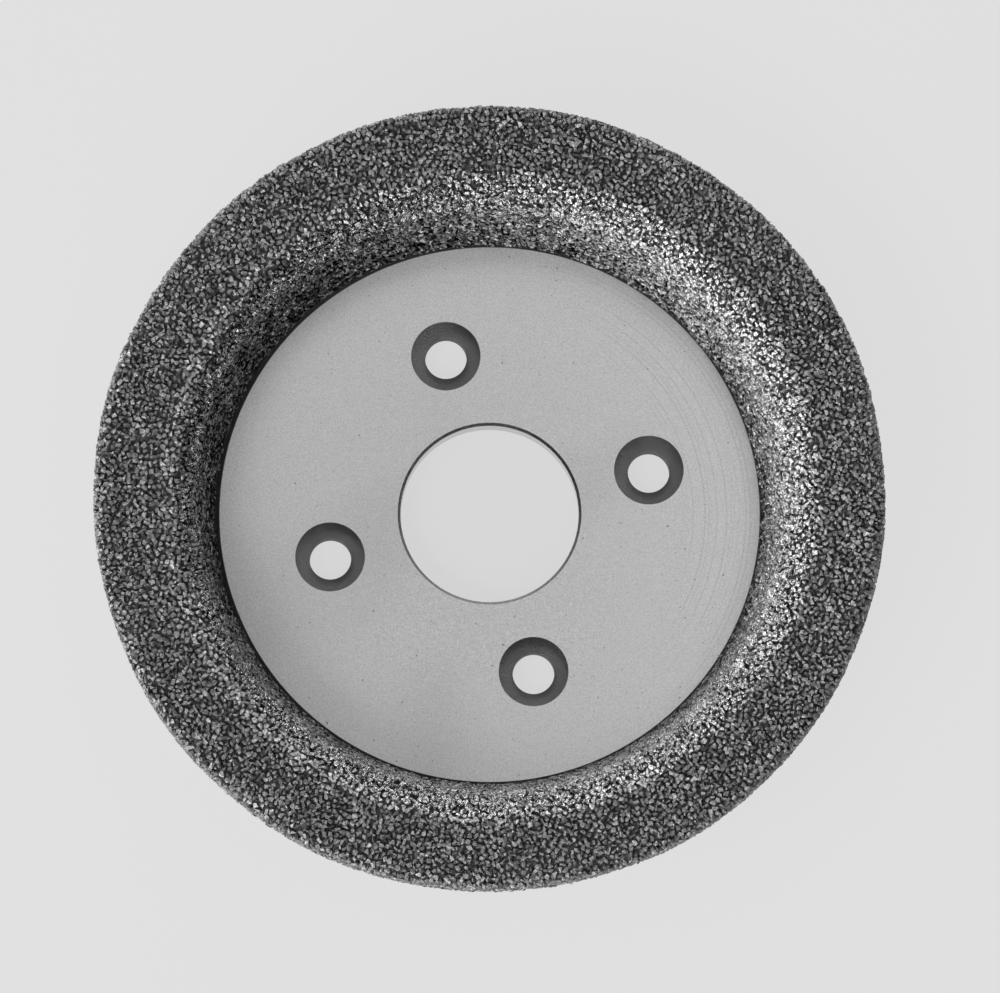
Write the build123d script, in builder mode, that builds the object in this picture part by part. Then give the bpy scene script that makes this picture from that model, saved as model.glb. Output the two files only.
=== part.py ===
"""Angle grinder carving disc: a dished steel wheel with carbide grit on its flared rim.

The wheel stands on the back of its hub. The origin is on the axis at that back face,
and +Z points out of the open side of the dish. All sizes are in millimetres.
"""
from build123d import *
import math
import os

# Hub plate
BORE_DIAMETER = 22.23
BORE_CHAMFER = 0.35
HUB_THICKNESS = 4.0
HUB_RADIUS = 33.65
SCREW_CIRCLE_DIAMETER = 41.2
SCREW_COUNT = 4
SCREW_HOLE_DIAMETER = 5.2
COUNTERSINK_DIAMETER = 8.7
COUNTERSINK_ANGLE = 90
FIRST_SCREW_ANGLE = 15.4

# Coats on the rim: a brazed bond, then the grit that stands in it
BOND_THICKNESS = 0.3
GRIT_THICKNESS = 0.9
COAT_THICKNESS = BOND_THICKNESS + GRIT_THICKNESS
UNDERSIDE_WRAP = 3.0

# Rim: a steep wall that climbs from the hub, a rounded bend, and a nearly flat flange
WALL_FOOT_RADIUS = HUB_RADIUS + COAT_THICKNESS
RIM_THICKNESS = 4.0
WALL_ANGLE = 79
FACE_ANGLE = 6
BEND_CORNER_RADIUS = 37.7
BEND_FILLET = 3.8
BACK_BEND_FILLET = 1.5
OUTER_RADIUS = 48.75
EDGE_FILLET = 0.4

# Grit zones: the bend ends and the outer edge starts at these radii
BEND_END_RADIUS = 40.4
EDGE_START_RADIUS = 46.9

# Braze that fills the groove between hub and rim, on the back
BRAZE_GROOVE = 0.8


def beyond(corner, inset):
    """The bend's corner moved into the steel, so that both straight lines move in by inset."""
    wall_normal = Vector(math.sin(math.radians(WALL_ANGLE)), -math.cos(math.radians(WALL_ANGLE)))
    face_normal = Vector(math.sin(math.radians(FACE_ANGLE)), -math.cos(math.radians(FACE_ANGLE)))
    return corner + (wall_normal + face_normal) * (inset / (1 + wall_normal.dot(face_normal)))


def on_face_line(start, radius):
    """The point at a radius on the line that leaves start at the flange's angle."""
    return Vector(radius, start.Y + (radius - start.X) * math.tan(math.radians(FACE_ANGLE)))


# Corners of the rim's section, as radius and height
rim_edge_radius = OUTER_RADIUS - COAT_THICKNESS
wall_rise = math.tan(math.radians(WALL_ANGLE))
front_corner = Vector(BEND_CORNER_RADIUS, HUB_THICKNESS + (BEND_CORNER_RADIUS - WALL_FOOT_RADIUS) * wall_rise)
back_corner = beyond(front_corner, RIM_THICKNESS)
middle_corner = beyond(front_corner, RIM_THICKNESS / 2)
back_foot = Vector(back_corner.X - back_corner.Y / wall_rise, 0)
far_out = 2 * OUTER_RADIUS

os.makedirs("parts", exist_ok=True)


with BuildPart() as hub_plate:
    with BuildSketch():
        Circle(HUB_RADIUS)
        Circle(BORE_DIAMETER / 2, mode=Mode.SUBTRACT)
    extrude(amount=HUB_THICKNESS)
    rims = hub_plate.edges().filter_by(GeomType.CIRCLE).sort_by(SortBy.RADIUS)
    chamfer(rims[:2], length=BORE_CHAMFER)
    back_rim = hub_plate.edges().filter_by(GeomType.CIRCLE).sort_by(SortBy.RADIUS)[-2:].sort_by(Axis.Z)[0]
    chamfer(back_rim, length=BRAZE_GROOVE)
    with Locations(Plane.XY.offset(HUB_THICKNESS)):
        with PolarLocations(SCREW_CIRCLE_DIAMETER / 2, SCREW_COUNT, start_angle=FIRST_SCREW_ANGLE):
            CounterSinkHole(
                radius=SCREW_HOLE_DIAMETER / 2,
                counter_sink_radius=COUNTERSINK_DIAMETER / 2,
                counter_sink_angle=COUNTERSINK_ANGLE,
            )

hub_plate.part.label = "hub_plate"
export_step(hub_plate.part, "parts/hub_plate.step")


# The section of the rim outside its foot, as radius and height
with BuildSketch(Plane.XZ) as rim_section:
    with BuildLine():
        Polyline(
            (WALL_FOOT_RADIUS, 0),
            (WALL_FOOT_RADIUS, HUB_THICKNESS),
            front_corner,
            on_face_line(front_corner, rim_edge_radius),
            on_face_line(back_corner, rim_edge_radius),
            back_corner,
            back_foot,
            close=True,
        )
    make_face()
    corners = rim_section.vertices()
    fillet(corners.sort_by_distance(front_corner)[0], BEND_FILLET)
    corners = rim_section.vertices()
    fillet(corners.sort_by_distance(back_corner)[0], BACK_BEND_FILLET)
    fillet(rim_section.vertices().sort_by(Axis.X)[-2:], EDGE_FILLET)

# The rim's foot is a ledge that reaches in to the hub, and the coat stands on it
with BuildPart() as rim_dish:
    with BuildSketch(Plane.XZ):
        with BuildLine():
            Polyline(
                (HUB_RADIUS + BRAZE_GROOVE, 0),
                (HUB_RADIUS, BRAZE_GROOVE),
                (HUB_RADIUS, HUB_THICKNESS),
                (WALL_FOOT_RADIUS, HUB_THICKNESS),
                (WALL_FOOT_RADIUS, 0),
                close=True,
            )
        make_face()
        add(rim_section.sketch)
    revolve(axis=Axis.Z)

rim_dish.part.label = "rim_dish"
export_step(rim_dish.part, "parts/rim_dish.step")


with BuildPart() as hub_braze:
    with BuildSketch(Plane.XZ):
        with BuildLine():
            Polyline(
                (HUB_RADIUS - BRAZE_GROOVE, 0),
                (HUB_RADIUS + BRAZE_GROOVE, 0),
                (HUB_RADIUS, BRAZE_GROOVE),
                close=True,
            )
        make_face()
    revolve(axis=Axis.Z)

hub_braze.part.label = "hub_braze"
export_step(hub_braze.part, "parts/hub_braze.step")


# The side of the rim that is coated: the wall, the bend, the flange's face, its edge
# and a band round its underside
with BuildSketch(Plane.XZ) as coated_side:
    with BuildLine():
        Polyline(
            (0, HUB_THICKNESS),
            (WALL_FOOT_RADIUS + RIM_THICKNESS / 2, HUB_THICKNESS),
            middle_corner,
            on_face_line(middle_corner, rim_edge_radius - UNDERSIDE_WRAP),
            (rim_edge_radius - UNDERSIDE_WRAP, 0),
            (far_out, 0),
            (far_out, far_out),
            (0, far_out),
            close=True,
        )
    make_face()

with BuildSketch(Plane.XZ) as up_to_bond:
    add(rim_section.sketch)
    offset(amount=BOND_THICKNESS)

with BuildSketch(Plane.XZ) as up_to_grit:
    add(rim_section.sketch)
    offset(amount=COAT_THICKNESS)

with BuildPart() as bond_coat:
    with BuildSketch(Plane.XZ):
        add(up_to_bond.sketch)
        add(rim_section.sketch, mode=Mode.SUBTRACT)
        add(coated_side.sketch, mode=Mode.INTERSECT)
    revolve(axis=Axis.Z)

bond_coat.part.label = "bond_coat"
export_step(bond_coat.part, "parts/bond_coat.step")


# The grit is one layer of separate grains. The grains of each zone are one closed ring here
with BuildSketch(Plane.XZ) as wall_zone:
    Rectangle(BEND_END_RADIUS, far_out, align=Align.MIN)

with BuildSketch(Plane.XZ) as face_zone:
    with Locations((BEND_END_RADIUS, middle_corner.Y)):
        Rectangle(EDGE_START_RADIUS - BEND_END_RADIUS, far_out, align=Align.MIN)

with BuildSketch(Plane.XZ) as edge_zone:
    add(coated_side.sketch)
    add(wall_zone.sketch, mode=Mode.SUBTRACT)
    add(face_zone.sketch, mode=Mode.SUBTRACT)


def grit_ring(zone):
    """The ring that the grains of one zone fill, on top of the bond."""
    with BuildPart() as ring:
        with BuildSketch(Plane.XZ):
            add(up_to_grit.sketch)
            add(up_to_bond.sketch, mode=Mode.SUBTRACT)
            add(coated_side.sketch, mode=Mode.INTERSECT)
            add(zone.sketch, mode=Mode.INTERSECT)
        revolve(axis=Axis.Z)
    return ring


wall_grit = grit_ring(wall_zone)
wall_grit.part.label = "wall_grit"
export_step(wall_grit.part, "parts/wall_grit.step")

face_grit = grit_ring(face_zone)
face_grit.part.label = "face_grit"
export_step(face_grit.part, "parts/face_grit.step")

edge_grit = grit_ring(edge_zone)
edge_grit.part.label = "edge_grit"
export_step(edge_grit.part, "parts/edge_grit.step")
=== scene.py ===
"""Looks of the angle grinder carving disc: separate carbide grains on the dish, and its steels.

Everything is in metres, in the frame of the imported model: the disc stands on the back of its
hub, with its axis on +Z and the open side of the dish up.
"""
import bmesh
import bpy
import math
import numpy as np
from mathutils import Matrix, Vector

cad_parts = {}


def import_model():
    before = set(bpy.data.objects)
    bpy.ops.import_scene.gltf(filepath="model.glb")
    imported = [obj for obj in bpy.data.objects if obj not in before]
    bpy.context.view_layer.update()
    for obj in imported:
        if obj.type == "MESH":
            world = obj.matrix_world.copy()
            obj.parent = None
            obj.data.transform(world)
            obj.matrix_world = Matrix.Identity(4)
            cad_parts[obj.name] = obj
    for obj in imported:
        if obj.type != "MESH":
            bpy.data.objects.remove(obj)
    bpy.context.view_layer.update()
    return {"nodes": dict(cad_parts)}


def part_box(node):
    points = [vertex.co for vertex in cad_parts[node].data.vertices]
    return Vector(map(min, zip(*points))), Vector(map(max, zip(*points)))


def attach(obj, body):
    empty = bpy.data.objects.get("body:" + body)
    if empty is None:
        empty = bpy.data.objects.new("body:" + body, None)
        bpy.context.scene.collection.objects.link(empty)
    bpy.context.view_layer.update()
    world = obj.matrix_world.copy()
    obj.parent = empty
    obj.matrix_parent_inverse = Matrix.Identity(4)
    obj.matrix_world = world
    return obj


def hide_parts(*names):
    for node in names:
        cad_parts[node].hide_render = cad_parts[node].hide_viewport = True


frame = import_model()
nodes = frame["nodes"]

MM = 0.001

# Sizes that the frame gives
HUB_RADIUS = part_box("hub_plate")[1].x
HUB_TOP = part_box("hub_plate")[1].z
STEEL_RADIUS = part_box("rim_dish")[1].x
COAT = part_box("edge_grit")[1].x - STEEL_RADIUS
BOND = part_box("bond_coat")[1].x - STEEL_RADIUS

# The rim's section, as the CAD has it
WALL_ANGLE = math.radians(79)
FACE_ANGLE = math.radians(6)
BEND_CORNER = 37.7 * MM
BEND_RADIUS = 3.8 * MM
RIM_THICKNESS = 4.0 * MM
EDGE_RADIUS = 0.4 * MM
UNDERSIDE_WRAP = 3.0 * MM

rng = np.random.default_rng(417)


# ---------------------------------------------------------------- section of the coated side
def unit(angle):
    """The direction at an angle, as radius and height."""
    return np.array([math.cos(angle), math.sin(angle)])


class Line:
    """A straight stretch of the section, from a to b, with its outward normal on the left."""

    def __init__(self, a, b):
        self.a = a
        self.b = b
        self.along = (b - a) / np.linalg.norm(b - a)
        self.length = float(np.linalg.norm(b - a))
        self.normal = np.array([-self.along[1], self.along[0]])

    def at(self, s):
        """Points and outward normals at lengths s along the stretch."""
        return self.a + np.outer(s, self.along), np.tile(self.normal, (len(s), 1))

    def lifted(self, height):
        """The same stretch moved outwards by a height."""
        return Line(self.a + self.normal * height, self.b + self.normal * height)


class Arc:
    """A round stretch that turns clockwise by a given angle, from a starting normal."""

    def __init__(self, centre, radius, start, turn):
        self.centre = centre
        self.radius = radius
        self.start = start
        self.turn = turn
        self.length = radius * turn

    def at(self, s):
        angle = self.start - s / self.radius
        normal = np.stack([np.cos(angle), np.sin(angle)], axis=1)
        return self.centre + normal * self.radius, normal

    def lifted(self, height):
        return Arc(self.centre, self.radius + height, self.start, self.turn)


class Hollow:
    """A round stretch that turns anticlockwise, with its outward normal towards its centre."""

    def __init__(self, centre, radius, start, turn):
        self.centre = centre
        self.radius = radius
        self.start = start
        self.length = radius * turn

    def at(self, s):
        angle = self.start + s / self.radius
        outwards = np.stack([np.cos(angle), np.sin(angle)], axis=1)
        return self.centre + outwards * self.radius, -outwards


def coated_section():
    """The steel's coated side, from the wall's foot over the bend and the edge to the underside."""
    foot = np.array([HUB_RADIUS + COAT, HUB_TOP])
    corner = np.array([BEND_CORNER, HUB_TOP + (BEND_CORNER - foot[0]) * math.tan(WALL_ANGLE)])
    wall, face = unit(WALL_ANGLE), unit(FACE_ANGLE)
    bend_turn = WALL_ANGLE - FACE_ANGLE
    tangent = BEND_RADIUS * math.tan(bend_turn / 2)
    bend_start = corner - wall * tangent
    bend_end = corner + face * tangent
    bend_centre = bend_start - unit(WALL_ANGLE + math.pi / 2) * BEND_RADIUS

    top_corner = corner + face * ((STEEL_RADIUS - BEND_CORNER) / face[0])
    low_corner = top_corner + np.array([0, -RIM_THICKNESS / math.cos(FACE_ANGLE)])
    # The edge's two fillets turn the section from the face to straight down, and on to the underside
    top_turn = FACE_ANGLE + math.pi / 2
    low_turn = math.pi / 2 - FACE_ANGLE
    top_trim = EDGE_RADIUS * math.tan(top_turn / 2)
    low_trim = EDGE_RADIUS * math.tan(low_turn / 2)
    face_stop = top_corner - face * top_trim
    edge_start = top_corner - np.array([0, top_trim])
    edge_stop = low_corner + np.array([0, low_trim])
    return [
        Line(foot, bend_start),
        Arc(bend_centre, BEND_RADIUS, WALL_ANGLE + math.pi / 2, bend_turn),
        Line(bend_end, face_stop),
        Arc(edge_start - np.array([EDGE_RADIUS, 0]), EDGE_RADIUS, FACE_ANGLE + math.pi / 2, top_turn),
        Line(edge_start, edge_stop),
        Arc(edge_stop - np.array([EDGE_RADIUS, 0]), EDGE_RADIUS, 0, low_turn),
        Line(low_corner - face * low_trim, low_corner - face * (UNDERSIDE_WRAP / face[0])),
    ]


class Layer:
    """A surface of revolution. A place on it is a length along its section and an azimuth."""

    def __init__(self, stretches):
        self.stretches = stretches
        self.starts = np.cumsum([0] + [stretch.length for stretch in stretches])
        self.length = float(self.starts[-1])

    def section_at(self, s):
        """Radius and height, and the normal, at lengths s from the wall's foot."""
        point = np.zeros((len(s), 2))
        normal = np.zeros((len(s), 2))
        which = np.clip(np.searchsorted(self.starts, s, side="right") - 1, 0, len(self.stretches) - 1)
        for i, stretch in enumerate(self.stretches):
            here = which == i
            point[here], normal[here] = stretch.at(s[here] - self.starts[i])
        return point, normal

    def at(self, s, azimuth):
        """Points and normals in space."""
        point, normal = self.section_at(s)
        return revolved(point, azimuth), revolved(normal, azimuth)


def revolved(rz, azimuth):
    """Points in space, from their radius and height and their azimuth about the axis."""
    return np.stack([rz[:, 0] * np.cos(azimuth), rz[:, 0] * np.sin(azimuth), rz[:, 1]], axis=1)


# ---------------------------------------------------------------- meshes
def make_object(name, points, faces, tones=None):
    """A mesh object, with a tone at each point where its material asks for one."""
    mesh = bpy.data.meshes.new(name)
    mesh.from_pydata(points.tolist(), [], faces.tolist())
    if tones is not None:
        mesh.attributes.new("tone", "FLOAT", "POINT").data.foreach_set("value", tones)
    mesh.update()
    made = bpy.data.objects.new(name, mesh)
    bpy.context.scene.collection.objects.link(made)
    return made


def joined_rings(rings, turns):
    """Faces that join rings of points, each ring to the next. A ring has turns points in a row."""
    this = np.arange(turns)
    following = (this + 1) % turns
    faces = []
    for ring, next_ring in zip(rings, rings[1:]):
        a, b = ring * turns, next_ring * turns
        faces.append(np.stack([a + this, b + this, b + following, a + following], axis=1))
    return np.concatenate(faces)


# ---------------------------------------------------------------- grains
GRAIN_SHAPES = 60
GRAIN_CORNERS = 14
CORNER_REACH = (0.92, 1.2)
SLIMNESS = (0.75, 1.0)
BROKEN_TOP = (0.35, 0.75)
BROKEN_UNEVENNESS = 0.05
GRAIN_WIDTHS = (0.42 * MM, 0.96 * MM)
WIDTH_SPREAD = (2.0, 2.2)
GRAIN_HALF_HEIGHTS = (0.55 * MM, 0.75 * MM)
# How near two grains may be, as a share of their widths added up, and how many places are tried
GRAIN_PACKING = 0.33
GRAIN_TRIES = 500000
# Grains are placed at this height above the steel, and their tops stand near the coat's own
MID_HEIGHT = 0.7 * MM
LEVEL_SPREAD = 0.05 * MM
TOP_DROP = 0.08 * MM
# How far they lean at most
WALL_TILT = math.radians(18)
FACE_TILT = math.radians(15)
EDGE_TILT = math.radians(10)
# The foot of the wall is bare, from nothing to this height, most on the side towards BARE_SIDE
BARE_SIDE = math.radians(215)
BARE_HEIGHT = 2.5 * MM
BARE_RAGGEDNESS = 0.3
# Grains differ in tone at random, and those on the face are worn dull. Those on the wall and the bend get
# a painted highlight, brighter and more mixed, except the bend's outer ones towards -X, which are left as
# dark as the face's because less light reaches them there
DULL_TONES = (0.15, 0.52)
WALL_HIGHLIGHT_TONE = 0.24
SHARP_MIX = 0.36
SHADED_BEND_REACH = 4.0 * MM
# Painted highlight: the bend's grains are made brighter
BEND_HIGHLIGHT_TONE = 0.52
BEND_FADE = 0.8 * MM
# Painted shade darkens the grains on one side of the wall, and fades out between these lengths from the
# foot
SHADED_WALL_SIDE = math.radians(154)
SIDE_SHADE_TONE = 0.52
SIDE_SHADE_FADE = (15.5 * MM, 18.3 * MM)
# Painted shade darkens the grains at the wall's foot, up to the height given last, by the second of these
# tones towards the side given first
FOOT_SHADE_SIDE = math.radians(290)
FOOT_SHADE_TONES = (0.26, 0.6)
FOOT_SHADE_HEIGHT = 8.0 * MM
# The coat is worn lower towards the edge, by a share of EDGE_WEAR that wanders in slow waves
EDGE_WEAR = 0.2 * MM
EDGE_WEAR_SHARE = 0.5
EDGE_WAVES = (3, 5, 8, 13)
EDGE_WAVE_SIZE = 0.3

section = coated_section()
grain_layer = Layer([stretch.lifted(MID_HEIGHT) for stretch in section])
# Where the wall, the bend and the face stop along the grains' layer
wall_stop, bend_stop, face_stop = grain_layer.starts[1:4]


def hull_of(points):
    """Corners and triangles of the convex hull of some points."""
    bm = bmesh.new()
    for p in points:
        bm.verts.new(p)
    hull = bmesh.ops.convex_hull(bm, input=bm.verts)
    unused = {v for v in hull["geom_interior"] + hull["geom_unused"] if isinstance(v, bmesh.types.BMVert)}
    bmesh.ops.delete(bm, geom=list(unused), context="VERTS")
    bmesh.ops.triangulate(bm, faces=bm.faces)
    bm.verts.index_update()
    corners = np.array([v.co for v in bm.verts])
    faces = np.array([[v.index for v in f.verts] for f in bm.faces])
    bm.free()
    return corners, faces


def grain_shape():
    """A crushed grain 2 units across, with facets all round and its top broken off nearly level."""
    points = rng.normal(size=(GRAIN_CORNERS, 3))
    points /= np.linalg.norm(points, axis=1)[:, None]
    points *= rng.uniform(*CORNER_REACH, size=(GRAIN_CORNERS, 1))
    points[:, 0] *= rng.uniform(*SLIMNESS)
    broken = rng.uniform(*BROKEN_TOP) + rng.uniform(-BROKEN_UNEVENNESS, BROKEN_UNEVENNESS, GRAIN_CORNERS)
    points[:, 2] = np.minimum(points[:, 2], broken)
    return hull_of(points)


def nearness(azimuth, side):
    """1 on the side towards an azimuth, falling to 0 on the far side."""
    return (1 + np.cos(azimuth - side)) / 2


def scattered(layer):
    """Places for grains on the layer, none too near another, and the width of each."""
    cell = GRAIN_WIDTHS[1]
    s = rng.uniform(0, layer.length, GRAIN_TRIES)
    azimuth = rng.uniform(0, 2 * math.pi, GRAIN_TRIES)
    point, _ = layer.section_at(s)
    kept = rng.uniform(size=GRAIN_TRIES) < point[:, 0] / point[:, 0].max()
    ragged = rng.uniform(-BARE_RAGGEDNESS, BARE_RAGGEDNESS, GRAIN_TRIES)
    kept &= s > BARE_HEIGHT * (nearness(azimuth, BARE_SIDE) + ragged)
    s, azimuth = s[kept], azimuth[kept]
    low, high = GRAIN_WIDTHS
    # The widest grains are placed first, and the small ones fill in between them
    width = np.sort(low + (high - low) * rng.beta(*WIDTH_SPREAD, size=len(s)))[::-1]
    place, _ = layer.at(s, azimuth)
    cells = np.floor(place / cell).astype(int)
    steps = [(i, j, k) for i in (-1, 0, 1) for j in (-1, 0, 1) for k in (-1, 0, 1)]
    filled = {}

    def neighbours(home):
        """The grains already placed in a cell and in those that touch it."""
        for i, j, k in steps:
            yield from filled.get((home[0] + i, home[1] + j, home[2] + k), ())

    chosen = []
    for n, (home, here, w) in enumerate(zip(map(tuple, cells), place.tolist(), width.tolist())):
        if all(math.dist(here, there) >= GRAIN_PACKING * (w + other) for there, other in neighbours(home)):
            filled.setdefault(home, []).append((here, w))
            chosen.append(n)
    return s[chosen], azimuth[chosen], width[chosen]


def rotation_about(axis, angle):
    """Rotation matrices, one for each axis and angle."""
    x, y, z = axis.T
    c, s = np.cos(angle), np.sin(angle)
    t = 1 - c
    rows = [
        [t * x * x + c, t * x * y - s * z, t * x * z + s * y],
        [t * x * y + s * z, t * y * y + c, t * y * z - s * x],
        [t * x * z - s * y, t * y * z + s * x, t * z * z + c],
    ]
    return np.array(rows).transpose(2, 0, 1)


def bend_share(s, stop):
    """1 inside the stop and 0 past it, with a fade across it."""
    return np.clip((stop + BEND_FADE / 2 - s) / BEND_FADE, 0, 1)


def wall_highlight(s, azimuth):
    """1 for the grains of the wall and the bend that get a painted highlight. Towards -X, where less light
    reaches, less of the bend has it.
    """
    return bend_share(s, bend_stop - SHADED_BEND_REACH * np.clip(-np.cos(azimuth), 0, 1))


def bend_highlight(s):
    """1 for the grains on the bend, which get a painted highlight, falling to 0 down the wall and where
    the face starts.
    """
    return np.clip((s - wall_stop + BEND_FADE) / (2 * BEND_FADE), 0, 1) * bend_share(s, bend_stop)


def side_shade(s, azimuth):
    """How much painted shade darkens the grains, up to 1 on the wall's shaded side."""
    low, high = SIDE_SHADE_FADE
    return np.clip((high - s) / (high - low), 0, 1) * nearness(azimuth, SHADED_WALL_SIDE) ** 2


def painted_foot_shade(s, azimuth):
    """How much the tone of the grains falls towards the wall's foot, as painted shade."""
    least, most = FOOT_SHADE_TONES
    return (least + (most - least) * nearness(azimuth, FOOT_SHADE_SIDE)) * np.clip(1 - s / FOOT_SHADE_HEIGHT, 0, 1)


def edge_wear(s, azimuth):
    """How much lower than full the coat is, growing towards the outer edge."""
    waves = sum(np.sin(n * azimuth + phase) for n, phase in zip(EDGE_WAVES, edge_phases))
    near_edge = np.clip((s - bend_stop) / (face_stop - bend_stop), 0, 1) ** 2
    return EDGE_WEAR * near_edge * np.clip(EDGE_WEAR_SHARE + EDGE_WAVE_SIZE * waves, 0, 1)


def grains(name, shapes, layer, s, azimuth, width, tilt, top):
    """One mesh of separate grains that stand in the bond with their tops near one level."""
    count = len(s)
    place, normal = layer.at(s, azimuth)
    across = np.stack([-np.sin(azimuth), np.cos(azimuth), np.zeros(count)], axis=1)
    upright = np.stack([across, np.cross(normal, across), normal], axis=2)
    turn = rng.uniform(0, 2 * math.pi, count)
    lean_axis = np.stack([np.cos(turn), np.sin(turn), np.zeros(count)], axis=1)
    lean = rotation_about(lean_axis, rng.uniform(0, tilt, count))
    spin = rotation_about(np.tile([0.0, 0.0, 1.0], (count, 1)), rng.uniform(0, 2 * math.pi, count))
    size = np.stack([width / 2, width / 2, rng.uniform(*GRAIN_HALF_HEIGHTS, count)], axis=1)
    level = top + rng.normal(0, LEVEL_SPREAD, count) - edge_wear(s, azimuth)
    # Each grain's tone: random, plus the painted highlight on the wall and the bend, less the painted
    # shade on one side and at the foot
    tone = rng.uniform(*DULL_TONES, size=count)
    tone += (WALL_HIGHLIGHT_TONE + SHARP_MIX * rng.uniform(-1, 1, count)) * wall_highlight(s, azimuth)
    tone += BEND_HIGHLIGHT_TONE * bend_highlight(s) - SIDE_SHADE_TONE * side_shade(s, azimuth) - painted_foot_shade(s, azimuth)
    pick = rng.integers(0, len(shapes), count)

    points, faces, tones = [], [], []
    start = 0
    for i, (corners, triangles) in enumerate(shapes):
        mine = np.flatnonzero(pick == i)
        if not len(mine):
            continue
        local = corners[None] * size[mine][:, None]
        local = np.einsum("nij,nkj->nki", spin[mine], local)
        local = np.einsum("nij,nkj->nki", lean[mine], local)
        local[:, :, 2] += (level[mine] - local[:, :, 2].max(axis=1))[:, None]
        local[:, :, 2] = np.minimum(local[:, :, 2], COAT)
        local[:, :, 2] -= MID_HEIGHT
        space = np.einsum("nij,nkj->nki", upright[mine], local) + place[mine][:, None]
        points.append(space.reshape(-1, 3))
        offsets = start + len(corners) * np.arange(len(mine))
        faces.append((triangles[None] + offsets[:, None, None]).reshape(-1, 3))
        tones.append(np.repeat(tone[mine], len(corners)))
        start += len(corners) * len(mine)
    return make_object(name, np.concatenate(points), np.concatenate(faces), np.concatenate(tones))


grain_s, grain_azimuth, grain_width = scattered(grain_layer)
grain_shapes = [grain_shape() for _ in range(GRAIN_SHAPES)]
edge_phases = rng.uniform(0, 2 * math.pi, len(EDGE_WAVES))
# Where each piece's grains start and stop, the node they stand for, their lean and their tops
zones = {
    "wall_grains": (0, wall_stop, "wall_grit", WALL_TILT, COAT - TOP_DROP),
    "bend_grains": (wall_stop, bend_stop, "wall_grit", WALL_TILT, COAT - TOP_DROP),
    "face_grains": (bend_stop, face_stop, "face_grit", FACE_TILT, COAT - TOP_DROP),
    "edge_grains": (face_stop, grain_layer.length, "edge_grit", EDGE_TILT, COAT),
}
grain_pieces = []
for name, (first, last, node, tilt, top) in zones.items():
    mine = (grain_s >= first) & (grain_s < last)
    places = grain_s[mine], grain_azimuth[mine], grain_width[mine]
    piece = grains(name, grain_shapes, grain_layer, *places, tilt, top)
    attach(piece, "root")
    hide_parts(node)
    grain_pieces.append(piece)


# ---------------------------------------------------------------- bond
BOND_STEP = 0.3 * MM
BOND_LUMPS = (-0.10 * MM, 0.14 * MM)
# The lumps fade out over these lengths at the wall's foot and at the underside's end
FOOT_FADE = 2 * MM
END_FADE = 1 * MM
FOOT_FILLET = 1.05 * MM


def bond_section():
    """The bond's skin: a fillet in the corner at the wall's foot, then one height all the way."""
    skin = [stretch.lifted(BOND) for stretch in section]
    wall = skin[0]
    trim = FOOT_FILLET * math.tan(WALL_ANGLE / 2)
    corner = wall.a
    centre = corner + np.array([-trim, FOOT_FILLET])
    fillet = Hollow(centre, FOOT_FILLET, -math.pi / 2, WALL_ANGLE)
    return [fillet, Line(corner + wall.along * trim, wall.b)] + skin[1:]


def bond_layer():
    """The bond, a closed band with an uneven skin, from the wall's foot to the underside."""
    skin = Layer(bond_section())
    s = np.linspace(0, skin.length, int(skin.length / BOND_STEP))
    turns = int(2 * math.pi * HUB_RADIUS / BOND_STEP)
    azimuth = np.arange(turns) * (2 * math.pi / turns)
    grid_s, grid_azimuth = (g.ravel() for g in np.meshgrid(s, azimuth, indexing="ij"))
    outer, normal = skin.at(grid_s, grid_azimuth)
    lumps = rng.uniform(*BOND_LUMPS, len(grid_s))
    lumps *= np.clip(grid_s / FOOT_FADE, 0, 1) * np.clip((skin.length - grid_s) / END_FADE, 0, 1)
    outer = outer + normal * lumps[:, None]
    steel = Layer(section)
    inner, _ = steel.at(np.array([0, steel.length]).repeat(turns), np.tile(azimuth, 2))
    # The skin's rings are joined in a row, between the steel's two rings, which closes the band
    faces = joined_rings([len(s)] + list(range(len(s))) + [len(s) + 1], turns)
    # The skin's tone rises from 0 at the wall's foot, which paints shade into the bond there
    tones = np.concatenate([np.clip(grid_s / FOOT_SHADE_HEIGHT, 0, 1), np.ones(2 * turns)])
    return make_object("bond_layer", np.concatenate([outer, inner]), faces, tones)


bond = bond_layer()
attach(bond, "root")
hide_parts("bond_coat")


# ---------------------------------------------------------------- materials
# Noise scales are in cycles per metre. Most of a noise's values lie in the wider of these two
# ranges, and the narrower one makes harder patches of it
NOISE_RANGE = (0.3, 0.7)
PATCH_RANGE = (0.4, 0.6)

# Grit: how much of its shade is each grain's own tone, then its specks and its gloss where it is
# still sharp and where it is worn dull
GRIT_GREYS = (0.018, 0.68)
OWN_TONE = 0.75
SHARP_SPECKS = (0.40, 1.50)
DULL_SPECKS = (0.76, 1.20)
SHARP_ROUGHNESS = (0.16, 0.28)
DULL_ROUGHNESS = (0.44, 0.58)
DULL_RELIEF = 0.3
FACET_RELIEF = 0.09 * MM
FINE_RELIEF = 0.12 * MM
# It turns from sharp to dull between these radii. From the axis towards -X, out to the x given below, it
# does so further and further in, up to the shift given below. This difference by side stands for the light
# that falls on the bend, not for wear, and is painted into the specks' shade as well as set in their gloss
DULL_FROM = (39.6 * MM, 41.0 * MM)
SHADED_SIDE_SHIFT = 2.0 * MM
SHADED_SIDE_X = -35 * MM

# Bond
BOND_GREYS = (0.010, 0.17)
BOND_ROUGHNESS = (0.45, 0.7)
BOND_SPECULAR = 0.3
BOND_RELIEF = 0.05 * MM

# Hub: its screw holes, as the CAD has them, and the distance from their axes that takes in their
# straight walls but not the face
SCREW_CIRCLE_RADIUS = 20.6 * MM
FIRST_SCREW = math.radians(15.4)
CONE_DEPTH = 1.75 * MM
HOLE_FADE = (3.0 * MM, 3.1 * MM)
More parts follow.
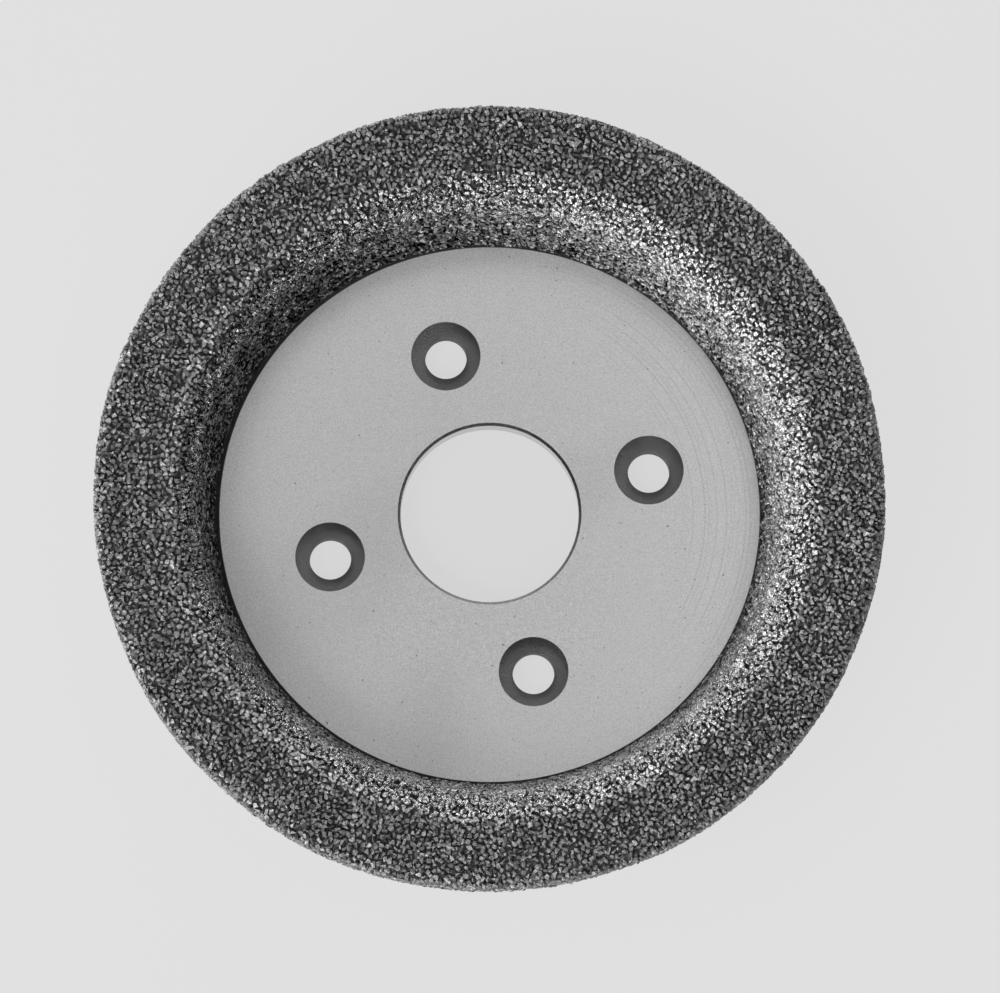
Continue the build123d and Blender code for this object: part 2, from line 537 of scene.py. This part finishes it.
# Its face has dull patches, fine grain and dark specks, and turning lines on one side
HUB_LIGHTNESS = 0.88
PATCH_STRETCH = (0.3, 0.5)
PATCH_SHADES = (0.90, 1.0)
FINE_SHADES = (0.86, 1.14)
SPECK_STRETCH = (0.70, 0.74)
SPECK_SHADE = 0.35
FACE_ROUGHNESS = (0.29, 0.35)
TURNING_PITCH = 0.3 * MM
TURNED_FROM = (23 * MM, 26 * MM)
TURNED_SIDE = (14 * MM, 24 * MM)
LINE_STRETCH = (0.56, 0.68)
LINE_DARKNESS = 0.12
# Its cut surfaces lie deeper than this below its faces, and its holes' straight walls are rough and
# darkened with painted shade
CUT_DEPTH = 0.03 * MM
CUT_SHADES = (0.58, 0.66)
CUT_ROUGHNESS = 0.2
PAINTED_HOLE_SHADE = 0.3
HOLE_ROUGHNESS = 0.8
RING_PITCH = 0.25 * MM
LINE_RELIEF = 0.002 * MM
SKIN_RELIEF = 0.004 * MM

# Rim
RIM_GREYS = (0.13, 0.36)
RIM_ROUGHNESS = (0.34, 0.62)
RING_SHARE = 0.3
RING_RELIEF = 0.012 * MM
SCALE_RELIEF = 0.03 * MM

# Braze
BRAZE_GREYS = (0.35, 0.5)
BRAZE_ROUGHNESS = (0.35, 0.55)
BRAZE_RELIEF = 0.08 * MM


class Shader:
    """A node material under construction, with the few nodes that the materials here share."""

    def __init__(self, name):
        self.material = bpy.data.materials.new(name)
        self.material.use_nodes = True
        self.tree = self.material.node_tree
        self.surface = self.tree.nodes["Principled BSDF"]
        self.place = self.node("ShaderNodeTexCoord").outputs["Object"]

    def node(self, kind, **settings):
        made = self.tree.nodes.new(kind)
        for key, value in settings.items():
            setattr(made, key, value)
        return made

    def link(self, source, target):
        self.tree.links.new(source, target)

    def feed(self, value, socket):
        """A plain number is set on the socket, and another node's output is linked to it."""
        if isinstance(value, (int, float)):
            socket.default_value = value
        else:
            self.link(value, socket)

    def tone(self):
        """The tone that the mesh holds at each point."""
        return self.node("ShaderNodeAttribute", attribute_name="tone").outputs["Fac"]

    def noise(self, scale, detail=3.0, roughness=0.5):
        made = self.node("ShaderNodeTexNoise")
        made.inputs["Scale"].default_value = scale
        made.inputs["Detail"].default_value = detail
        made.inputs["Roughness"].default_value = roughness
        self.link(self.place, made.inputs["Vector"])
        return made.outputs["Fac"]

    def noise_along(self, value, scale):
        """Noise that depends on one value alone."""
        made = self.node("ShaderNodeTexNoise", noise_dimensions="1D")
        made.inputs["Scale"].default_value = scale
        made.inputs["Detail"].default_value = 0.0
        self.link(value, made.inputs["W"])
        return made.outputs["Fac"]

    def math(self, operation, a, b=0.0):
        made = self.node("ShaderNodeMath", operation=operation)
        for socket, value in zip(made.inputs, (a, b)):
            self.feed(value, socket)
        return made.outputs[0]

    def spread(self, value, low, high, to_low=0.0, to_high=1.0):
        """The value taken from low..high to to_low..to_high, and held there past the ends."""
        made = self.node("ShaderNodeMapRange")
        made.inputs["From Min"].default_value = low
        made.inputs["From Max"].default_value = high
        made.inputs["To Min"].default_value = to_low
        made.inputs["To Max"].default_value = to_high
        self.link(value, made.inputs["Value"])
        return made.outputs["Result"]

    def greys(self, value, dark, light):
        """A grey between the dark one, at 0, and the light one, at 1."""
        made = self.node("ShaderNodeMix", data_type="RGBA")
        made.inputs["A"].default_value = (dark, dark, dark, 1)
        made.inputs["B"].default_value = (light, light, light, 1)
        self.link(value, made.inputs["Factor"])
        return made.outputs["Result"]

    def blend(self, share, a, b):
        """a where share is 0, and b where it is 1."""
        made = self.node("ShaderNodeMix", data_type="FLOAT")
        for socket, value in zip(("Factor", "A", "B"), (share, a, b)):
            self.feed(value, made.inputs[socket])
        return made.outputs["Result"]

    def bump(self, height, distance, strength=1.0, over=None):
        made = self.node("ShaderNodeBump")
        made.inputs["Strength"].default_value = strength
        made.inputs["Distance"].default_value = distance
        self.link(height, made.inputs["Height"])
        if over is not None:
            self.link(over, made.inputs["Normal"])
        return made.outputs["Normal"]

    def radius(self):
        """Distance from the disc's axis."""
        flat = self.node("ShaderNodeVectorMath", operation="MULTIPLY")
        flat.inputs[1].default_value = (1, 1, 0)
        self.link(self.place, flat.inputs[0])
        length = self.node("ShaderNodeVectorMath", operation="LENGTH")
        self.link(flat.outputs["Vector"], length.inputs[0])
        return length.outputs["Value"]

    def coordinates(self, turn=0.0):
        """The outputs "X", "Y" and "Z", with the disc turned about its axis."""
        turned = self.node("ShaderNodeVectorRotate", rotation_type="Z_AXIS")
        turned.inputs["Angle"].default_value = turn
        self.link(self.place, turned.inputs["Vector"])
        split = self.node("ShaderNodeSeparateXYZ")
        self.link(turned.outputs["Vector"], split.inputs["Vector"])
        return split.outputs

    def distance(self, a, b):
        """Distance from the place where both a and b are 0, as they run at right angles."""
        squares = self.math("ADD", self.math("MULTIPLY", a, a), self.math("MULTIPLY", b, b))
        return self.math("SQRT", squares)

    def finish(self, color, roughness, metallic, normal=None):
        self.link(color, self.surface.inputs["Base Color"])
        self.link(roughness, self.surface.inputs["Roughness"])
        self.surface.inputs["Metallic"].default_value = metallic
        if normal is not None:
            self.link(normal, self.surface.inputs["Normal"])
        return self.material


def grit_material():
    """Carbide grains, each with its own tone, which also holds painted highlights and shade: sharp and
    mottled on the wall, worn dull on the face.
    """
    sh = Shader("carbide_grit")
    own = sh.math("MULTIPLY", sh.tone(), OWN_TONE)
    facets = sh.math("MULTIPLY", sh.noise(scale=2600, detail=2.0), 1 - OWN_TONE)
    value = sh.math("ADD", own, facets)
    # Towards -X the grains turn dull further in, a difference by side that stands for light
    further = sh.spread(sh.coordinates()["X"], SHADED_SIDE_X, 0.0, SHADED_SIDE_SHIFT, 0.0)
    dullness = sh.spread(sh.math("ADD", sh.radius(), further), *DULL_FROM)

    specks = sh.noise(scale=3800, detail=1.0)
    sharp_specks = sh.spread(specks, *PATCH_RANGE, *SHARP_SPECKS)
    dull_specks = sh.spread(specks, *PATCH_RANGE, *DULL_SPECKS)
    shade = sh.math("MULTIPLY", value, sh.blend(dullness, sharp_specks, dull_specks))

    polish = sh.noise(scale=1800, detail=2.0)
    sharp_roughness = sh.spread(polish, *NOISE_RANGE, *SHARP_ROUGHNESS)
    dull_roughness = sh.spread(polish, *NOISE_RANGE, *DULL_ROUGHNESS)
    roughness = sh.blend(dullness, sharp_roughness, dull_roughness)

    normal = sh.bump(sh.noise(scale=3600, detail=4.0, roughness=0.6), FACET_RELIEF)
    fine = sh.noise(scale=5200, detail=3.0, roughness=0.6)
    fine = sh.math("MULTIPLY", fine, sh.blend(dullness, 1.0, DULL_RELIEF))
    normal = sh.bump(fine, FINE_RELIEF, over=normal)
    return sh.finish(sh.greys(shade, *GRIT_GREYS), roughness, 1.0, normal)


def bond_material():
    """The bond between the grains, with painted shade that darkens it towards the wall's foot, where its
    tone is 0.
    """
    sh = Shader("dark_bond")
    shade = sh.math("MULTIPLY", sh.tone(), sh.noise(scale=900))
    roughness = sh.spread(sh.noise(scale=1500), *NOISE_RANGE, *BOND_ROUGHNESS)
    normal = sh.bump(sh.noise(scale=2600, detail=4.0), BOND_RELIEF, strength=0.7)
    sh.surface.inputs["Specular IOR Level"].default_value = BOND_SPECULAR
    return sh.finish(sh.greys(shade, *BOND_GREYS), roughness, 0.0, normal)


def hub_material():
    """Faced steel. Where the bore, the holes and the chamfers cut it, it is darker and ringed."""
    sh = Shader("faced_steel")
    places = sh.coordinates(-FIRST_SCREW)
    x, y, z = (places[axis] for axis in "XYZ")
    depth = sh.math("SUBTRACT", HUB_TOP, z)
    skin = sh.spread(sh.math("MINIMUM", depth, z), 0.0, CUT_DEPTH, 1.0, 0.0)
    radius = sh.radius()
    # The four screw holes fold onto one
    x_size = sh.math("ABSOLUTE", x)
    y_size = sh.math("ABSOLUTE", y)
    along = sh.math("MAXIMUM", x_size, y_size)
    beside = sh.math("MINIMUM", x_size, y_size)
    from_hole = sh.distance(sh.math("SUBTRACT", along, SCREW_CIRCLE_RADIUS), beside)

    patches = sh.spread(sh.noise(scale=45, detail=1.0), *PATCH_STRETCH, *PATCH_SHADES)
    fine = sh.spread(sh.noise(scale=5200, detail=1.0, roughness=0.8), *NOISE_RANGE, *FINE_SHADES)
    specks = sh.noise(scale=1500, detail=2.0, roughness=0.6)
    specks = sh.spread(specks, *SPECK_STRETCH, 1.0, SPECK_SHADE)
    turning = sh.noise_along(radius, 1 / TURNING_PITCH)
    turned = sh.math("MULTIPLY", sh.spread(radius, *TURNED_FROM), sh.spread(x, *TURNED_SIDE))
    lines = sh.math("MULTIPLY", turned, sh.spread(turning, *LINE_STRETCH, 0.0, LINE_DARKNESS))
    face = sh.math("MULTIPLY", sh.math("MULTIPLY", patches, fine), specks)
    face = sh.math("MULTIPLY", face, sh.math("SUBTRACT", 1.0, lines))

    # Below their countersinks the screw holes' walls are rough and darkened with painted shade
    shaded_hole_walls = sh.spread(depth, CONE_DEPTH, CONE_DEPTH + CUT_DEPTH)
    shaded_hole_walls = sh.math("MULTIPLY", shaded_hole_walls, sh.spread(from_hole, *HOLE_FADE, 1.0, 0.0))
    cut = sh.spread(sh.noise(scale=1500), *NOISE_RANGE, *CUT_SHADES)
    cut = sh.math("MULTIPLY", cut, sh.blend(shaded_hole_walls, 1.0, PAINTED_HOLE_SHADE))
    shade = sh.math("MULTIPLY", sh.blend(skin, cut, face), HUB_LIGHTNESS)

    face_roughness = sh.spread(sh.noise(scale=2500), *NOISE_RANGE, *FACE_ROUGHNESS)
    cut_roughness = sh.blend(shaded_hole_walls, CUT_ROUGHNESS, HOLE_ROUGHNESS)
    roughness = sh.blend(skin, cut_roughness, face_roughness)
    rings = sh.math("SINE", sh.math("MULTIPLY", from_hole, 2 * math.pi / RING_PITCH))
    height = sh.blend(skin, rings, sh.math("MULTIPLY", turning, turned))
    normal = sh.bump(height, LINE_RELIEF, strength=0.5)
    normal = sh.bump(sh.noise(scale=6000, detail=2.0), SKIN_RELIEF, strength=0.5, over=normal)
    return sh.finish(sh.greys(shade, 0.0, 1.0), roughness, 1.0, normal)


def rim_material():
    """Turned steel that brazing has darkened: rings down its wall and a mottled scale."""
    sh = Shader("heat_darkened_steel")
    rings = sh.noise_along(sh.math("ADD", sh.radius(), sh.coordinates()["Z"]), 1 / TURNING_PITCH)
    mottle = sh.math("MULTIPLY", sh.noise(scale=160, detail=8.0, roughness=0.7), 1 - RING_SHARE)
    shade = sh.math("ADD", mottle, sh.math("MULTIPLY", rings, RING_SHARE))
    color = sh.greys(sh.spread(shade, *NOISE_RANGE), *RIM_GREYS)
    polish = sh.noise(scale=500, detail=6.0, roughness=0.7)
    roughness = sh.spread(polish, *NOISE_RANGE, *RIM_ROUGHNESS)
    normal = sh.bump(rings, RING_RELIEF, strength=0.6)
    crust = sh.noise(scale=2400, detail=5.0, roughness=0.7)
    normal = sh.bump(crust, SCALE_RELIEF, strength=0.6, over=normal)
    return sh.finish(color, roughness, 1.0, normal)


def braze_material():
    """A bright, uneven run of braze."""
    sh = Shader("nickel_braze")
    color = sh.greys(sh.noise(scale=300, detail=5.0), *BRAZE_GREYS)
    roughness = sh.spread(sh.noise(scale=900), *NOISE_RANGE, *BRAZE_ROUGHNESS)
    normal = sh.bump(sh.noise(scale=900, detail=4.0), BRAZE_RELIEF, strength=0.6)
    return sh.finish(color, roughness, 1.0, normal)


def dress(piece, material):
    piece.data.materials.clear()
    piece.data.materials.append(material)


grit = grit_material()
for piece in grain_pieces:
    dress(piece, grit)
dress(bond, bond_material())
dress(nodes["hub_plate"], hub_material())
dress(nodes["rim_dish"], rim_material())
dress(nodes["hub_braze"], braze_material())


# ---------------------------------------------------------------- floor, light and camera
FLOOR_HALF = 4.0
FLOOR_DROP = 0.05 * MM
BACKDROP_TURNS = 96
BACKDROP_STEPS = 13
BACKDROP_CURVE = 1.0
BACKDROP_HEIGHT = 6.0

# The sheet glows evenly, but under the disc its glow is turned down as painted shade, and it brightens
# between the radii below
SHEET_GREYS = (0.05, 0.055)
SHEET_ROUGHNESS = (0.8, 0.9)
SHEET_SPECULAR = 0.1
SHADE_FADE_RADII = (20 * MM, 45 * MM)
SHADED_AND_FULL_GLOW = (0.63, 0.69)

# Each light's azimuth and elevation in degrees, its distance, width and height, and its radiance
LIGHTS = {
    "overhead": (90, 86, 1.5, 1.7, 1.7, 0.22),
    "high_right": (8, 68, 0.9, 0.3, 0.3, 2.0),
    "high_back": (90, 58, 0.9, 0.5, 0.4, 0.85),
    "high_left": (180, 58, 0.9, 0.5, 0.4, 1.2),
    "front_left": (225, 50, 0.9, 0.5, 0.4, 7.0),
    "front": (270, 42, 0.9, 0.5, 0.4, 2.7),
    "low_front_left": (225, 8, 0.9, 0.5, 0.22, 10.0),
    "low_left": (180, 8, 0.9, 0.5, 0.22, 11.0),
    "low_back": (90, 14, 0.9, 0.5, 0.4, 5.5),
    "low_back_right": (45, 8, 0.9, 0.5, 0.22, 3.0),
}
WORLD_STRENGTH = 0.02

# The camera's lean off the axis in degrees, its distance, how wide a view it has at the hub's
# face, and how far right and up of the axis it aims
CAMERA_TILT = 8.5
CAMERA_DISTANCE = 1.05
SENSOR = 36.0
VIEW_WIDTH = 124.6 * MM
AIM_RIGHT = 1.30 * MM
AIM_UP = 2.11 * MM
CLIP_START = 0.01
CLIP_END = 20


def sheet_material():
    """A pale sheet, lit through from behind like a light table, with painted shade where it lies under the
    disc.
    """
    sh = Shader("pale_sheet")
    color = sh.greys(sh.noise(scale=3), *SHEET_GREYS)
    sh.surface.inputs["Specular IOR Level"].default_value = SHEET_SPECULAR
    sh.surface.inputs["Emission Color"].default_value = (1, 1, 1, 1)
    sh.link(sh.spread(sh.radius(), *SHADE_FADE_RADII, *SHADED_AND_FULL_GLOW), sh.surface.inputs["Emission Strength"])
    return sh.finish(color, sh.spread(sh.noise(scale=5), 0, 1, *SHEET_ROUGHNESS), 0.0)


def floor(sheet):
    """A flat sheet, a hair under the disc so that the two don't share a plane."""
    corners = [(-1, -1), (1, -1), (1, 1), (-1, 1)]
    points = np.array([[x * FLOOR_HALF, y * FLOOR_HALF, -FLOOR_DROP] for x, y in corners])
    made = make_object("floor", points, np.array([[0, 1, 2, 3]]))
    dress(made, sheet)


def backdrop(sheet):
    """The sheet curved up all round the floor. Only the camera sees it, so it lights nothing."""
    climb = np.linspace(0, math.pi / 2, BACKDROP_STEPS)
    reach = FLOOR_HALF - BACKDROP_CURVE + BACKDROP_CURVE * np.sin(climb)
    curve = np.stack([reach, BACKDROP_CURVE * (1 - np.cos(climb))], axis=1)
    rz = np.concatenate([curve, [(FLOOR_HALF, BACKDROP_HEIGHT)]])
    azimuth = np.arange(BACKDROP_TURNS) * (2 * math.pi / BACKDROP_TURNS)
    points = revolved(rz.repeat(BACKDROP_TURNS, axis=0), np.tile(azimuth, len(rz)))
    made = make_object("backdrop", points, joined_rings(range(len(rz)), BACKDROP_TURNS))
    for face in made.data.polygons:
        face.use_smooth = True
    made.visible_diffuse = False
    made.visible_glossy = False
    made.visible_shadow = False
    dress(made, sheet)


def direction(azimuth, elevation):
    """The unit vector towards an azimuth and an elevation in degrees."""
    a, e = math.radians(azimuth), math.radians(elevation)
    return Vector((math.cos(a) * math.cos(e), math.sin(a) * math.cos(e), math.sin(e)))


def soft_light(name, azimuth, elevation, distance, width, height, radiance):
    """A rectangular light that faces the disc and that the camera doesn't see."""
    light = bpy.data.lights.new(name, "AREA")
    light.shape = "RECTANGLE"
    light.size = width
    light.size_y = height
    light.energy = radiance * math.pi * width * height
    made = bpy.data.objects.new(name, light)
    bpy.context.scene.collection.objects.link(made)
    towards = direction(azimuth, elevation)
    made.location = towards * distance
    made.rotation_euler = towards.to_track_quat("Z", "Y").to_euler()
    made.visible_camera = False


def world():
    """A faint white glow all round."""
    made = bpy.data.worlds.new("studio")
    made.use_nodes = True
    background = made.node_tree.nodes["Background"]
    background.inputs["Color"].default_value = (1, 1, 1, 1)
    background.inputs["Strength"].default_value = WORLD_STRENGTH
    bpy.context.scene.world = made


def camera():
    """The open side seen from above, leaning towards -Y."""
    data = bpy.data.cameras.new("camera")
    made = bpy.data.objects.new("camera", data)
    bpy.context.scene.collection.objects.link(made)
    towards = direction(-90, 90 - CAMERA_TILT)
    across = Vector((1, 0, 0))
    aim = Vector((0, 0, HUB_TOP)) + across * AIM_RIGHT + towards.cross(across) * AIM_UP
    made.location = aim + towards * CAMERA_DISTANCE
    made.rotation_euler = towards.to_track_quat("Z", "Y").to_euler()
    data.sensor_width = SENSOR
    data.lens = SENSOR * CAMERA_DISTANCE / VIEW_WIDTH
    data.clip_start = CLIP_START
    data.clip_end = CLIP_END
    bpy.context.scene.camera = made


sheet = sheet_material()
floor(sheet)
backdrop(sheet)
for name, place_and_size in LIGHTS.items():
    soft_light(name, *place_and_size)
world()
bpy.context.scene.view_settings.view_transform = "Standard"
camera()
